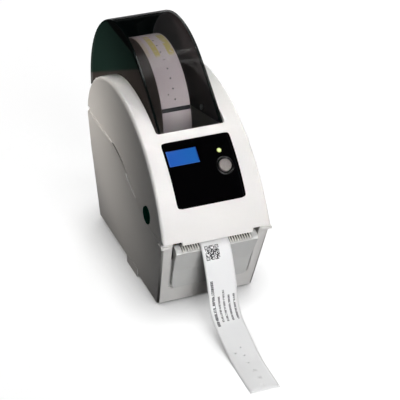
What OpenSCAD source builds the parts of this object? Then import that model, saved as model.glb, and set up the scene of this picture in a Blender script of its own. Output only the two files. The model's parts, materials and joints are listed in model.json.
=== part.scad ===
// Desktop band printer: hinged cover, smoked hood over the roll, release tabs, ribbed slot and front insert.
// Millimetres, +Z up, the front faces -Y, z = 0 is the table.

/* [Body] */
// Width over the side walls at the seam
body_w = 106.8; // [104:0.2:112]
// Width at the bottom edge
foot_w = 96; // [92:1:102]
// Wall thickness of housing and cover
wall = 2.4; // [2:0.1:2.8]
// Ground clearance under the front edge
ground = 3; // [2:0.5:4]
// Open joint between cover and base
seam_gap = 0.6; // [0.4:0.1:1]
// Corner radius of the rear uprights
rear_r = 9; // [6:0.5:12]

/* [Cover] */
// Radius of the long front face
front_r = 150; // [148:0.5:152]
// Roundness of the cover's side ridges
ridge_r = 3.2; // [2:0.2:4]
// Inward lean of the cover's sides per millimetre of height
cover_lean = 0.0385; // [0.03:0.0005:0.045]
// Wall of the smoked hood
hood_t = 2; // [1.6:0.1:2.4]
// Width of the hood at its foot
hood_w = 65.6; // [62:0.2:68]

/* [Control panel] */
// Width of the black panel
panel_w = 66.8; // [60:0.2:70]
// Height of the black panel along the face
panel_h = 63.2; // [58:0.2:66]
// Width of the display window
lcd_w = 29.4; // [24:0.2:31]
// Height of the display window
lcd_h = 15.3; // [12:0.1:17]
// Diameter of the feed button
button_d = 11.7; // [9:0.1:13]
// Travel of the feed button
button_travel = 1.2; // [0.8:0.1:1.3]
// Diameter of the lamp
led_d = 4.4; // [3:0.1:5]

/* [Release tabs] */
// Diameter of each release tab
tab_d = 17; // [15:0.5:20]
// Travel of each release tab
tab_travel = 3; // [2.5:0.1:3.2]

/* [Media] */
// Width of the band
band_w = 28.5; // [25:0.5:30]
// Thickness of the band
band_t = 0.35; // [0.25:0.05:0.4]
// Sideways place of the band
band_x = -2.4; // [-3:0.1:0]
// Diameter of the roll
roll_d = 130.2; // [110:0.2:131]
// Diameter of the platen roller
platen_d = 14; // [12:0.5:14]

/* [Slot] */
// Number of ribs on the lip
rib_count = 28; // [20:1:30]
// Thickness of each rib
rib_t = 1; // [0.7:0.1:1.3]
// Height of each rib
rib_h = 1.7; // [1:0.1:2]

/* [Clearances] */
// Air round a curved face of another body
air = 0.3; // [0.25:0.05:0.4]
// Radial play of a turning shaft
play = 0.05; // [0.03:0.01:0.08]

/* [Hidden] */
hw = body_w/2;
seam_front = 84.5;
seam_rear = 118.5;
seam_y0 = -82;
seam_y1 = 28;
crest_y = 26;
crest_z = 177.5;
crown_r = 93;
crown_turn = 55;
back_r = 50;
floor_z = 9;
step_z = 6.5;
step_y = -4;
fc = [crest_y, crest_z - front_r];
front_y = fc[0] - sqrt(front_r*front_r - (seam_front - fc[1])*(seam_front - fc[1]));
kc = [crest_y, crest_z - crown_r];
bc = kc + (crown_r - back_r)*[cos(crown_turn), sin(crown_turn)];

function arc(c, r, a0, a1, n) = [for (i = [0:n]) c + r*[cos(a0 + (a1 - a0)*i/n), sin(a0 + (a1 - a0)*i/n)]];
function smooth(t) = t <= 0 ? 0 : t >= 1 ? 1 : t*t*(3 - 2*t);
function mix(a, b, t) = a + (b - a)*t;
function seam_z(y) = mix(seam_front, seam_rear, smooth((y - seam_y0)/(seam_y1 - seam_y0)));

// outer faces of the base at height z
z_kink = seam_front;
z_top = 121;
rim = 1.5;
function base_hw(z) = z < z_kink ? mix(foot_w/2, hw, (z - ground)/(z_kink - ground))
                                 : mix(hw, hw + rim, (z - z_kink)/(z_top - z_kink));
front_run = 25.8;
front_step = 2.25;
function base_front(z) = front_y + front_step + front_run*(z_kink - z)/(z_kink - ground);
function base_rear(z) = mix(84, 98.4, (z - ground)/(z_top - ground));
front_lean = atan(front_run/(z_kink - ground));
function cover_hw(z) = hw - cover_lean*(z - seam_front);

hinge_y = base_rear(seam_rear) - 4.1;
hinge_z = seam_rear - 5.5;
pin_r = 2;
knuckle_r = 4.2;
knuckle_out = hw - 4;
knuckle_mid = knuckle_out - 5.8;
knuckle_in = knuckle_mid - 5.6;
open_max = 80;

// panel geometry on the front face
a_top = 122;
a_mid = a_top + panel_h/2/front_r*180/PI;
panel_proud = 0.35;
panel_in = 1.1;
function face_a(s) = a_top + s/front_r*180/PI;
lcd_x = -16.7;
lcd_s = 16.2;
led_x = 18.9;
led_s = 16.2;
button_x = 20.5;
button_s = 31.2;
collar_r = 9;
board_top = 10.8;
board_s = panel_h/2 - 4;
post_up = board_s - lcd_s + lcd_h/2 + 3.1;
board_h = 2*post_up + 5.6;

tab_y = -70;
tab_z = 93;
tab_face = cover_hw(tab_z) + 0.5;

// feed line
roll_r = roll_d/2;
roll_y = 47.3;
roll_z = 76 + roll_r;
// the low rear edge of the base stays clear of the roll
roll_gap = 3;
rear_edge = roll_z - sqrt(max(0, pow(roll_r + roll_gap, 2) - pow(base_rear(z_kink) - wall - roll_y, 2)));
platen_r = platen_d/2;
platen_y = front_y + 14.75;
band_z = 78.1;
platen_z = band_z - air - platen_r;
lip_c = [platen_y - 6, band_z + band_t/2 - 14.57];
band_l = band_x - band_w/2;
band_r = band_x + band_w/2;

// gears
gear_m = 0.8;
platen_n = 14;
idler_n = 30;
pinion_n = 12;
gear_x0 = 37;
gear_x1 = 41;
train_a = -40;
idler_p = [platen_y, platen_z] + gear_m*(platen_n + idler_n)/2*[cos(train_a), sin(train_a)];
motor_p = idler_p + gear_m*(idler_n + pinion_n)/2*[cos(train_a), sin(train_a)];
plate_x0 = 33.5;
plate_x1 = 35.5;
plate_z = band_z - 1.9 - air;

guide_y = platen_y + 48;
guide_n = 8;
guide_m = 1;
guide_pr = guide_m*guide_n/2;
guide_gap = 0.45;
rail_z = 70;
bar_z = 66;
tray_z = 60;
tray_y = platen_y + 62;
tray_hw = base_hw(tray_z) - wall - 3.4;
bracket_z = 97.5;

io_y = 80;
io_z = 24;

module xprism(pts, x0, x1) translate([x0, 0, 0]) rotate([90, 0, 90]) linear_extrude(x1 - x0) polygon(pts);
module yprism(pts, y0, y1) translate([0, y1, 0]) rotate([90, 0, 0]) linear_extrude(y1 - y0) polygon(pts);
module xcyl(y, z, r, x0, x1) translate([x0, y, z]) rotate([0, 90, 0]) cylinder(r = r, h = x1 - x0, $fn = 64);
module block(x0, x1, y0, y1, z0, z1) translate([x0, y0, z0]) cube([x1 - x0, y1 - y0, z1 - z0]);
module both() {
    children();
    mirror([1, 0, 0]) children();
}
module rounded(w, h, r) {
    square([w, h - 2*r], center = true);
    square([w - 2*r, h], center = true);
    for (i = [-1, 1], j = [-1, 1])
        translate([i*(w/2 - r), j*(h/2 - r)]) circle(r = r, $fn = 32);
}

// local frame on the cover's front face: +Z is outward, +Y is up the face
module on_face(s, x = 0)
    translate([x, fc[0] + front_r*cos(face_a(s)), fc[1] + front_r*sin(face_a(s))])
        rotate([face_a(s) - 90, 0, 0]) children();

// local frame on the base's sloped front at height z
module on_front(z)
    translate([0, base_front(z), z]) rotate([90 + front_lean, 0, 0]) children();

// spur gear about +Z with straight flanks and generous play
module gear_shape(n, m, turn = 0) {
    r = n*m/2;
    t = 360/n;
    polygon([for (i = [0:n - 1], k = [[-0.36, -1.15], [-0.13, 0.8], [0.13, 0.8], [0.36, -1.15]])
        (r + k[1]*m)*[cos(turn + (i + k[0]*0.8)*t), sin(turn + (i + k[0]*0.8)*t)]]);
}

module xgear(p, n, turn, bore)
    translate([gear_x0, p[0], p[1]]) rotate([90, 0, 90]) linear_extrude(gear_x1 - gear_x0) difference() {
        gear_shape(n, gear_m, turn);
        circle(r = bore, $fn = 48);
    }

function cover_profile(d) = concat(
    arc(fc, front_r - d, 166, 90, 15),
    arc(kc, crown_r - d, 85, crown_turn, 6),
    arc(bc, back_r - d, crown_turn - 5, 0, 8),
    [[bc[0] + back_r - d, fc[1] + front_r*sin(166)]]);

function leaning(w0, z0, w1, z1) = [[-w0, z0], [w0, z0], [w1, z1], [-w1, z1]];
module cover_band(d, e)
    intersection() {
        xprism(cover_profile(d), -80, 80);
        yprism(leaning(cover_hw(55) - e, 55, cover_hw(190) - e, 190), front_y - 30, 130);
    }

module cover_form()
    hull() for (t = [0:30:90]) cover_band(ridge_r*(1 - sin(t)), ridge_r*(1 - cos(t)));

function seam_line(dz) =
    [for (y = concat(-160, [for (i = [0:14]) mix(seam_y0, seam_y1, i/14)], 160)) [y, seam_z(y) + dz]];
module under_seam(dz)
    xprism(concat([[-160, -20]], seam_line(dz), [[160, -20]]), -90, 90);
module over_seam(dz)
    xprism(concat([[-160, 260]], seam_line(dz), [[160, 260]]), -90, 90);

module base_post(z, r, h, inset, y, s, thick = 0)
    for (i = [-1, 1])
        translate([i*(base_hw(z) - inset - thick - r), y + s*(inset + r), z])
            cylinder(r = r, h = h, $fn = 32);

module base_form(inset, z0)
    hull() {
        base_post(z0, 2, 1, inset, base_front(z0), 1);
        base_post(z0, rear_r - inset, 1, inset, base_rear(z0), -1);
        base_post(z_kink - 1, 2, 2, inset, base_front(z_kink), 1);
        base_post(z_kink - 1, rear_r - inset, 2, inset, base_rear(z_kink), -1);
        base_post(z_top, 2, 4, inset, base_front(z_top), 1, inset > 0 ? rim + 0.7 : 0);
        base_post(z_top, rear_r - inset, 4, inset, base_rear(z_top), -1, inset > 0 ? rim + 0.7 : 0);
    }

// the recess in the sloped front, narrower at the bottom, with rounded lower corners
insert_top = 40.5;
insert_low = 37.2;
insert_gap = 3.2;
module insert_shape(g, y0, y1, r)
    difference() {
        polygon([[-insert_low - g, y0], [insert_low + g, y0], [insert_top + g, y1], [-insert_top - g, y1]]);
        for (i = [-1, 1])
            translate([i*(insert_low + g), y0]) difference() {
                square(2*r, center = true);
                translate([-i*r, r]) circle(r = r, $fn = 32);
            }
    }

// seats shared by several pieces
frame_bolts = [for (i = [-27, 27], y = [25, 38]) [i, platen_y + y]];
board_bolts = [[-31, 4], [31, 4], [-31, 58], [31, 58]];
tray_posts = [[-40, -24], [40, -24], [-40, 66], [40, 66]];
hood_bolts = [[4, 152], [84, 132]];
foot_y = [platen_y + 32, 66];
foot_r = 6.5;
ledge_in = hw - 5.9;
strike_in = hw - 7.9;
strike_z = 76;

module base_housing()
    color("#ecebe6") difference() {
        union() {
            difference() {
                base_form(0, ground);
                base_form(wall, floor_z);
                over_seam(-seam_gap/2);
                block(-44, 44, platen_y + 20, platen_y + 60, ground + wall, floor_z + 1);
                // rear half of the underside is higher, the foot blocks stay
                block(-70, 70, step_y, 110, -5, step_z);
                both() block(39, 70, -35.2, -33, -5, floor_z - wall);
                // recess for the front insert
                on_front(50) translate([0, 0, -12]) linear_extrude(24)
                    insert_shape(insert_gap, -30.4, 60, 5);
                // low rear edge between the hinges
                block(1.5 - knuckle_in, knuckle_in - 1.5, 70, 120, rear_edge, 200);
                both() block(knuckle_in - 8, knuckle_out + 0.9, hinge_y - 7, 120, hinge_z - 7.5, 200);
                both() xcyl(tab_y, tab_z, tab_d/2 + 0.9, hw - 7.4, hw + 20);
                block(-41, 41, 70, 120, 14, 34);
                for (i = [-4:4]) block(i*9 - 1.5, i*9 + 1.5, 10, 50, -5, 20);
            }
            // foot blocks
            both() block(40, base_hw(ground) + 0.9, -33, step_y, 0.2, floor_z);
            // lips at the two front corners
            both() translate([0, base_front(80), 79.4])
                block(insert_top + insert_gap, hw + 1.1, -2.6, 6, 0, 2.6);
            both() intersection() {
                union() {
                    xcyl(hinge_y, hinge_z, knuckle_r, knuckle_in, knuckle_mid - 0.2);
                    translate([0, hinge_y, hinge_z]) block(knuckle_in, knuckle_mid - 0.2, -2.6, 2.2, -14, 0);
                }
                block(0, 60, 60, 110, 60, 130);
            }
            for (p = frame_bolts) translate([p[0], p[1], ground + 1])
                cylinder(r = 4, h = 12 - ground - 1, $fn = 32);
            for (p = board_bolts) translate([p[0], p[1], step_z + 1])
                cylinder(r = 3.4, h = 16 - step_z - 1, $fn = 32);
            for (p = tray_posts) translate([p[0], p[1], step_z + 1])
                cylinder(r = 4, h = tray_z - 2 - step_z - 1, $fn = 32);
            both() block(ledge_in, base_hw(70) - 0.8, tab_y - 8, tab_y + 8, 66, strike_z);
        }
        both() xcyl(hinge_y, hinge_z, pin_r, knuckle_in - 1, knuckle_out + 0.6);
        for (p = frame_bolts) translate([p[0], p[1], ground + 2.2]) cylinder(r = 1.25, h = 20, $fn = 32);
        for (p = board_bolts) translate([p[0], p[1], step_z + 2]) cylinder(r = 1.25, h = 20, $fn = 32);
    }

module rubber_feet()
    color("#2b2b2b") {
        for (i = [-1, 1]) {
            translate([i*34, foot_y[0], 0]) cylinder(r = foot_r, h = ground, $fn = 48);
            translate([i*34, foot_y[1], 0]) cylinder(r = foot_r, h = step_z, $fn = 48);
        }
        // the middle foot, under the roll's weight
        translate([0, step_y + foot_r + 0.5, 0]) cylinder(r = foot_r, h = step_z, $fn = 48);
    }

lip_r = 14.57 - band_t/2 - air;
module front_panel()
    color("#d7d6d2") difference() {
        union() {
            on_front(50) {
                translate([0, 0, -1]) linear_extrude(3.5) insert_shape(0, -27.5, 25.2, 4);
                translate([0, 0, -4.3]) linear_extrude(1.5) insert_shape(insert_gap + 2, -33, 8, 5);
                translate([0, 0, -3.5]) linear_extrude(3) insert_shape(-3, -25, 5, 4);
            }
            // lip with ribs, on a swell of the plate
            intersection() {
                xprism([lip_c + (lip_r - rib_h)*[cos(136), sin(136)], [base_front(45) - 2.4, 45],
                    [base_front(45), 45], [base_front(72), 72]], -insert_top, insert_top);
                on_front(50) translate([0, 0, -2]) linear_extrude(12) insert_shape(0, -27.5, 25.2, 4);
            }
            difference() {
                xprism(concat(arc(lip_c, lip_r - rib_h, 93.4, 136, 8),
                    [[base_front(67) - 1.6, 67], [lip_c[0] - 0.6, 67]]), 0.2 - insert_top, insert_top - 0.2);
                block(-60, 60, lip_c[0] - 0.8, 0, 60, 90);
            }
            for (i = [0:rib_count - 1]) lip_rib(mix(-33.6, 33.6 - rib_t, i/(rib_count - 1)), rib_t);
            lip_rib(0.2 - insert_top, insert_top - 35);
            lip_rib(34.8, insert_top - 35);
        }
        // room for the platen
        xcyl(platen_y, platen_z, platen_r + 2*air, -60, 60);
    }

module lip_rib(x, t)
    intersection() {
        xprism(concat(arc(lip_c, lip_r, 93.4, 124, 6), [lip_c + (lip_r - rib_h - 0.3)*[cos(134), sin(134)],
            lip_c + (lip_r - rib_h - 0.6)*[cos(93.4), sin(93.4)]]), x, x + t);
        block(-60, 60, lip_c[0] - 30, lip_c[0] - 0.8, 60, 90);
    }

module hinge_pins()
    color("#b8bcc0") both() xcyl(hinge_y, hinge_z, pin_r, knuckle_in, knuckle_out + 0.5);

module mechanism_frame()
    color("#9a9da1") difference() {
        union() {
            both() translate([0, platen_y, 0]) xprism([[21, 12], [44, 12], [56, rail_z - 4], [56, rail_z],
                [38, rail_z], [8, plate_z], [-3, plate_z], [-6.2, 73], [-5.2, 67], [2, 60]],
                plate_x0, plate_x1);
            block(-plate_x0, plate_x0, platen_y + 21, platen_y + 44, 12, 14);
            block(-plate_x0, plate_x0, platen_y + 14, platen_y + 18, bar_z - 2, bar_z);
        }
        both() xcyl(platen_y, platen_z, 4.6, 30, 40);
        xcyl(idler_p[0], idler_p[1], 2, 30, 40);
        xcyl(motor_p[0], motor_p[1], 4, 30, 40);
        for (p = frame_bolts) translate([p[0], p[1], 5]) cylinder(r = 1.6, h = 20, $fn = 32);
    }

module frame_screws()
    color("#55585c") for (p = frame_bolts) translate([p[0], p[1], 0]) screw_up(14, 1.25, 8.4);

// pan head screw standing at height z, shank downward
module screw_up(z, r, l) {
    translate([0, 0, z - l]) cylinder(r = r, h = l, $fn = 32);
    translate([0, 0, z]) difference() {
        cylinder(r = 2*r, h = 1.6, $fn = 32);
        translate([0, 0, 0.8]) block(-0.3, 0.3, -1.4, 1.4, 0, 2);
        translate([0, 0, 0.8]) block(-1.4, 1.4, -0.3, 0.3, 0, 2);
    }
}

module platen_bushings()
    color("#c9a45c") both() difference() {
        xcyl(platen_y, platen_z, 4.6, plate_x0 - 0.3, plate_x1 + 0.5);
        xcyl(platen_y, platen_z, 3 + play, 30, 40);
    }

module stepper_motor()
    color("#7d8084") difference() {
        union() {
            xcyl(motor_p[0], motor_p[1], 16.5, 9, plate_x0);
            xcyl(motor_p[0], motor_p[1], 4, plate_x0 - 1, plate_x1);
        }
        xcyl(motor_p[0], motor_p[1], 1.5 + play, 22, 40);
    }

module idler_post()
    color("#b8bcc0") xcyl(idler_p[0], idler_p[1], 2, plate_x0, gear_x1 + 1);

module media_tray()
    color("#3c3e41") difference() {
        union() {
            block(-tray_hw, tray_hw, tray_y, 85, tray_z - 2, tray_z);
            block(-tray_hw, tray_hw, tray_y, tray_y + 2, tray_z - 1, tray_z + 8);
        }
        both() block(tray_hw - 3, tray_hw + 9, -12, 30, tray_z - 4, tray_z + 1);
    }

module main_board()
    color("#2f6b3f") difference() {
        union() {
            block(-36, 36, -2, 78, 16, 17.6);
            block(-8, 10, 20, 38, 17, 19.4);
            block(-28, -16, 24, 36, 17, 19.2);
            for (i = [0:2]) translate([22, 22 + 9*i, 17]) cylinder(r = 3, h = 9, $fn = 32);
        }
        for (p = board_bolts) translate([p[0], p[1], 10]) cylinder(r = 1.6, h = 20, $fn = 32);
        block(26, 40, io_y - 9, 90, 10, 30);
    }

module board_screws()
    color("#55585c") for (p = board_bolts) translate([p[0], p[1], 0]) screw_up(17.6, 1.25, 8);

module rear_hole(x, r, y, h) translate([x, y, io_z]) rotate([-90, 0, 0]) cylinder(r = r, h = h, $fn = 48);
module io_plate()
    color("#b4b7ba") difference() {
        block(-43, 43, io_y, io_y + 1.2, 12, 36);
        block(26.9, 40.1, io_y - 2, io_y + 4, io_z - 7.6, io_z + 7.6);
        rear_hole(19.5, 4, io_y - 2, 6);
        block(-0.2, 12.2, io_y - 2, io_y + 4, 17.4, 29);
        block(-28.4, -10.6, io_y - 2, io_y + 4, 17.3, io_z + 5);
        for (x = [-32, -7]) rear_hole(x, 1.6, io_y - 2, 6);
    }

module dc_jack()
    color("#1e1e20") difference() {
        union() {
            block(15, 24, io_y - 14, io_y - 0.1, 17.6, io_z + 5.5);
            rear_hole(19.5, 3.9, io_y - 2, 4);
        }
        translate([19.5, io_y - 9, io_z]) rotate([-90, 0, 0]) difference() {
            cylinder(r = 2.9, h = 20, $fn = 48);
            cylinder(r = 1, h = 10, $fn = 32);
        }
    }

module usb_port()
    color("#c2c5c8") difference() {
        block(0, 12, io_y - 13, io_y + 2.6, 17.6, 28.8);
        difference() {
            union() {
                block(1, 11, io_y - 9, io_y + 5, 18.6, 25.6);
                block(2.2, 9.8, io_y - 9, io_y + 5, 25, 27.8);
            }
            block(3.4, 8.6, io_y - 11, io_y - 3, 20.6, 24.4);
        }
    }

module serial_port()
    color("#aeb2b6") {
        difference() {
            union() {
                block(-35, -4, io_y + 1.2, io_y + 2.2, io_z - 6, io_z + 6);
                translate([-19.5, io_y + 1.2, io_z]) rotate([-90, 0, 0]) linear_extrude(6) d_shape(8.2, 4.1);
                block(-28, -11, io_y - 9, io_y + 1.3, 17.6, io_z + 4.6);
            }
            translate([-19.5, io_y + 2.4, io_z]) rotate([-90, 0, 0]) linear_extrude(8) d_shape(7.6, 3.5);
            for (i = [-1, 1])
                rear_hole(i*12.5 - 19.5, 1.6, io_y - 2, 8);
        }
        for (i = [-2:2]) translate([-19.5 + 2.7*i, io_y + 1.4, io_z + 1.4]) rotate([-90, 0, 0])
            cylinder(r = 0.5, h = 5, $fn = 16);
        for (i = [-1.5:1:1.5]) translate([-19.5 + 2.7*i, io_y + 1.4, io_z - 1.4]) rotate([-90, 0, 0])
            cylinder(r = 0.5, h = 5, $fn = 16);
    }
module d_shape(w, h) polygon([[-w, -h], [w, -h], [w - 1.4, h], [-w + 1.4, h]]);

module switch_frame()
    color("#18181a") difference() {
        union() {
            block(25.5, 41.5, io_y + 1.2, io_y + 3, io_z - 8.6, io_z + 8.6);
            block(27, 40, io_y - 8, io_y + 1.3, io_z - 7.5, io_z + 7.5);
        }
        block(28.2, 38.8, io_y - 6.5, io_y + 5, io_z - 6.8, io_z + 6.8);
        xcyl(io_y - 0.5, io_z, 1.5 + play, 27.4, 39.6);
    }

rock_half = 8;
module power_rocker()
    color("#26262a") {
        translate([0, io_y - 0.5, io_z]) rotate([-rock_half, 0, 0]) difference() {
            union() {
                xprism([[-3, -3.8], [-3, 3.8], [1.4, 5.9], [4.4, 5.7], [3, 0], [4.4, -5.7], [1.4, -5.9]],
                    28.6, 38.4);
                xcyl(0, 0, 1.5, 27.6, 39.4);
            }
            for (z = [-3.4, 3.4]) translate([33.5, 3.9, z]) rotate([-90, 0, 0])
                cylinder(r = 1, h = 3, $fn = 32);
        }
    }

module holder(x0, s)
    difference() {
        union() {
            translate([0, roll_y, 0]) xprism([[-20, tray_z], [20, tray_z], [11, roll_z - 8],
                [11, roll_z + 7], [-11, roll_z + 7], [-11, roll_z - 8]], x0, x0 + 3);
            translate([x0 + 1.5 + 4*s, roll_y, tray_z]) block(-5.5, 5.5, -20, 20, 0, 2.5);
        }
        xcyl(roll_y, roll_z, 6 + air, x0 - 1, x0 + 4);
        block(x0 - 1, x0 + 4, roll_y - 6 - air, roll_y + 6 + air, roll_z, roll_z + 20);
        xprism([[roll_y - 11, tray_z + 8], [roll_y + 11, tray_z + 8], [roll_y + 5.5, roll_z - 22],
            [roll_y - 5.5, roll_z - 22]], x0 - 1, x0 + 4);
    }
holder_l = band_l - 8;
holder_r = band_r + 5;
module left_holder() color("#3c3e41") holder(holder_l, -1);
module right_holder() color("#3c3e41") holder(holder_r, 1);

module roll_spindle() color("#d8d8d4") xcyl(roll_y, roll_z, 6, holder_l - 2, holder_r + 5);
module roll_hub()
    color("#3a3c40") difference() {
        xcyl(roll_y, roll_z, 12.7, band_l - 2.2, band_r + 2.2);
        xcyl(roll_y, roll_z, 6, band_l - 5, band_r + 5);
    }
module roll_core()
    color("#b99a6b") difference() {
        xcyl(roll_y, roll_z, 15.2, band_l - 0.4, band_r + 0.4);
        xcyl(roll_y, roll_z, 12.7, band_l - 5, band_r + 5);
    }
module media_roll()
    color("#f4f4f2") difference() {
        xcyl(roll_y, roll_z, roll_r, band_l, band_r);
        xcyl(roll_y, roll_z, 15.2, band_l - 5, band_r + 5);
    }

// the band: lengths and turns of the path, from the roll's underside to the table
band_start = [roll_y, roll_z - roll_r - air - band_t/2];
band_nip = [platen_y, band_z + band_t/2];
climb = atan((band_nip[1] - band_start[1])/(band_start[0] - band_nip[0]));
fall_turn = 57;
steep_turn = 16;
sweep_turn = -55;
ease_turn = -2;
function turtle(p, h, l, turn, n, i = 0) = i == n ? [] :
    let (g = h + turn*(i + 0.5)/n, q = p - l/n*[cos(g), sin(g)])
        concat([q], turtle(q, h, l, turn, n, i + 1));
function run(p, h, l, turn, n) = turtle(p, h, l, turn, n);
function last(v) = v[len(v) - 1];
b1 = [[lip_c[0], band_nip[1]]];
b2 = run(last(b1), 0, 14.5, fall_turn, 8);
// heights lost after the steep run fix its length
b5_0 = run([0, 0], fall_turn + steep_turn, 25, sweep_turn, 10);
b6_0 = run(last(b5_0), fall_turn + steep_turn + sweep_turn, 29, ease_turn, 2);
b7_0 = run(last(b6_0), fall_turn + steep_turn + sweep_turn + ease_turn, 27.5,
    -(fall_turn + steep_turn + sweep_turn + ease_turn), 6);
steep_unit = run([0, 0], fall_turn, 1, steep_turn, 8);
steep_l = (last(b2)[1] - band_t/2 - 0.05 + last(b7_0)[1])/-last(steep_unit)[1];
b3 = run(last(b2), fall_turn, steep_l, steep_turn, 8);
tail = [for (p = concat(b5_0, b6_0, b7_0)) p + last(b3)];
band_path = concat([band_start, band_nip], b1, b2, b3, tail, [last(tail) - [31, 0]]);
function dir(v) = v/norm(v);
function normal_at(i) =
    let (n = len(band_path), d = dir(band_path[min(i + 1, n - 1)] - band_path[max(i - 1, 0)])) [d[1], -d[0]];
module printed_band()
    color("#f7f7f5") xprism(concat(
        [for (i = [0:len(band_path) - 1]) band_path[i] + band_t/2*normal_at(i)],
        [for (i = [len(band_path) - 1:-1:0]) band_path[i] - band_t/2*normal_at(i)]), band_l, band_r);

module guide_rail()
    color("#8d9094") {
        difference() {
            block(-plate_x0, plate_x0, guide_y - 9, guide_y + 9, rail_z - 2, rail_z);
            for (s = [-1, 1]) block(-30, 30, guide_y + s*11 - 1, guide_y + s*11 + 1, rail_z - 4, rail_z + 1);
        }
        translate([band_x, guide_y, rail_z - 0.5]) cylinder(r = 1.5, h = 4.2, $fn = 48);
    }

rack_t = 2.6;
module guide(s)
    translate([band_x, guide_y, 0]) rotate([0, 0, s > 0 ? 0 : 180]) {
        block(-band_w/2 - guide_gap - 3.2, -band_w/2 - guide_gap, -7.6, 7.6, rail_z, band_z + 4);
        difference() {
            translate([0, -guide_pr, rail_z])
                block(-band_w/2 - guide_gap - 1, 12, -1.2 - rack_t, 0.8, 0, 2.8);
            for (i = [-9:9]) translate([i*PI*guide_m, -guide_pr, rail_z - 1]) linear_extrude(6)
                polygon([[-1.1, 3], [1.1, 3], [1.1, 0.8], [0.55, -1.2], [-0.55, -1.2], [-1.1, 0.8]]);
        }
    }
module left_guide() color("#4c6f9c") guide(1);
module right_guide() color("#4c6f9c") guide(-1);
module guide_pinion()
    color("#e4e2da") translate([band_x, guide_y, rail_z + 0.1]) linear_extrude(2.6) difference() {
        gear_shape(guide_n, guide_m, -90);
        circle(r = 1.5 + play, $fn = 48);
    }

module mark_sensor()
    color("#222428") {
        block(band_x - 7, band_x + 7, platen_y + 14, platen_y + 21, bar_z, band_z - 2.2);
        block(band_x - 2, band_x + 2, platen_y + 16, platen_y + 19, bar_z + 4, band_z - 1.6);
    }

module latch_strikes()
    color("#c4c7ca") both()
        block(strike_in, base_hw(strike_z) - wall - 0.4, tab_y - 6, tab_y + 6, strike_z, strike_z + 2.2);

module top_cover()
    color("#efeeea") difference() {
        union() {
            difference() {
                cover_form();
                difference() {
                    cover_band(wall, wall);
                    // ear walls beside the hood
                    both() block(hood_half + 0.9, hood_half + 3, -45.5, 130, 100, 200);
                    // posts for the control board and the head bracket
                    for (x = [-24, 24], y = [-20, post_up])
                        on_face(board_s) translate([x, y, -board_top]) cylinder(r = 2.6, h = 20, $fn = 32);
                    both() translate([24, platen_y + 6, bracket_z]) cylinder(r = 4, h = 40, $fn = 32);
                    // rib that carries the tear bar
                    block(-33, 33, platen_y - 16, platen_y - 10.9, 82.4, 86.5);
                }
                difference() {
                    under_seam(seam_gap/2);
                    block(-34.6, 34.6, front_y - 20, platen_y - 6, 0, 90);
                }
                block(-40, 40, front_y - 20, platen_y + 38, 40, 81.6);
                // opening for the hood
                translate([0, 0, 90]) linear_extrude(140) hood_hole();
                both() xcyl(tab_y, tab_z, tab_d/2 + 0.4, hw - 9.4, hw + 20);
                // pocket for the panel
                difference() {
                    on_face(panel_h/2) translate([0, 0, -8]) linear_extrude(20)
                        rounded(panel_w + 0.4, panel_h + 0.4, 5.2);
                    xcyl(fc[0], fc[1], front_r - panel_in, -60, 60);
                }
                on_face(lcd_s, lcd_x) translate([0, 0, -12]) linear_extrude(20)
                    square([lcd_w + 1, lcd_h + 1], center = true);
                on_face(led_s, led_x) translate([0, 0, -12]) cylinder(r = led_d/2 + 0.3, h = 20, $fn = 48);
                on_face(button_s, button_x) translate([0, 0, -12])
                    cylinder(r = collar_r + 0.3, h = 20, $fn = 48);
                // room round the hinge
                xcyl(hinge_y, hinge_z, 8.4, -70, 70);
            }
            both() {
                xcyl(hinge_y, hinge_z, knuckle_r, knuckle_mid + 0.2, knuckle_out);
                translate([0, hinge_y, hinge_z]) {
                    block(knuckle_mid + 0.2, knuckle_out, -2.2, 2.2, 0, 10);
                    block(knuckle_mid + 0.2, knuckle_out, -2.2, bc[0] + back_r - 1 - hinge_y, 8.6, 11);
                }
            }
        }
        both() xcyl(hinge_y, hinge_z, pin_r + play, 30, 60);
        both() for (p = hood_bolts) xcyl(p[0], p[1], 1.25, 20, hood_half + 4);
    }
hood_half = hood_w/2 + 0.2;

module hood_hole() {
    r = hood_edge + 0.9;
    w = hood_half + 0.9;
    y = hood_y - air - 0.1;
    translate([-w, y + r]) square([2*w, 170]);
    translate([r - w, y]) square([2*(w - r), 2*r]);
    for (i = [-1, 1]) translate([i*(w - r), y + r]) circle(r = r, $fn = 32);
}

// smoked hood
hood_r = 84.1;
hood_top = 219.9;
hood_c = [61.1, hood_top - hood_r];
hood_turn = 124;
hood_front_r = 467;
hood_fc = hood_c - (hood_front_r - hood_r)*[cos(hood_turn), sin(hood_turn)];
hood_y = -43.9;
hood_start = acos((hood_y - hood_fc[0])/hood_front_r);
hood_lean = 0.02;
hood_floor = 118.8;
hood_foot = 112;
hood_tail = asin((hood_floor + 4 - hood_c[1])/hood_r);
hood_edge = 2;
function hood_hw(z) = hood_w/2 - hood_lean*(z - 160);
function hood_arcs(d) = concat(
    arc(hood_fc, hood_front_r - d, hood_start, hood_turn, 4),
    arc(hood_c, hood_r - d, hood_turn - 6, hood_tail, 21),
    [[hood_c[0] + (hood_r - d)*cos(hood_tail), hood_floor + d]]);
module hood_band(pts, e)
    intersection() {
        xprism(pts, -60, 60);
        yprism(leaning(hood_hw(40) - e, 40, hood_hw(230) - e, 230), -80, 170);
    }
module hood_shell(d, e) hood_band(concat(hood_arcs(d), [[hood_foot, hood_floor + d]]), e);
module media_hood()
    color("#2a302f") difference() {
        hull() for (t = [0:30:90]) hood_shell(hood_edge*(1 - sin(t)), hood_edge*(1 - cos(t)));
        // the inside is open below, in front of the rear floor
        hood_band(concat(hood_arcs(hood_t), [[hood_foot + 0.5, hood_floor + hood_t], [hood_foot + 0.5, 60],
            [-70, 60], [-70, 145]]), hood_t);
        both() for (p = hood_bolts) xcyl(p[0], p[1], 1.3, 20, 40);
    }

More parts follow.
